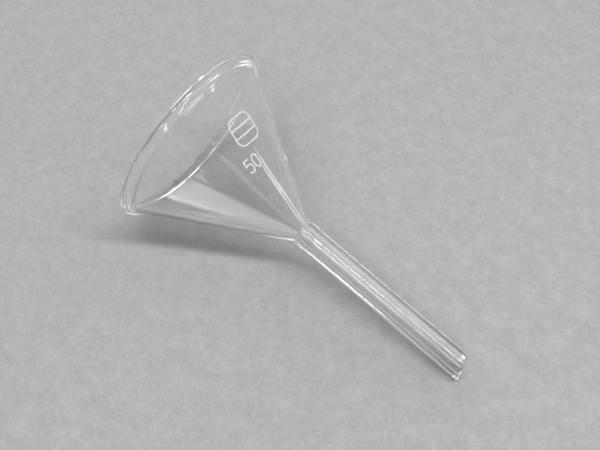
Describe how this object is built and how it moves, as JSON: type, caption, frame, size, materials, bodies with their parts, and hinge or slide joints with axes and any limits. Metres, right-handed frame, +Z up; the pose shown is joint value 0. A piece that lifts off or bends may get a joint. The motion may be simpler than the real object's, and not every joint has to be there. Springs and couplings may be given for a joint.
{
  "type": "glass funnel",
  "caption": "Plain conical glass laboratory funnel with a fire-polished rim and a straight stem cut slanting at its tip, lying on its side.",
  "frame": {"origin": "on the floor, under the middle of the lying funnel's box", "axes": "+Z up, +X from the mouth towards the stem along the floor, +Y to the left of that; the funnel's own axis leans down towards +X in the XZ plane"},
  "size_m": [0.0938, 0.05, 0.0486],
  "materials": {
    "glass": "clear, fire-polished"
  },
  "bodies": {
    "root": {"funnel": "glass"}
  },
  "joints": []
}
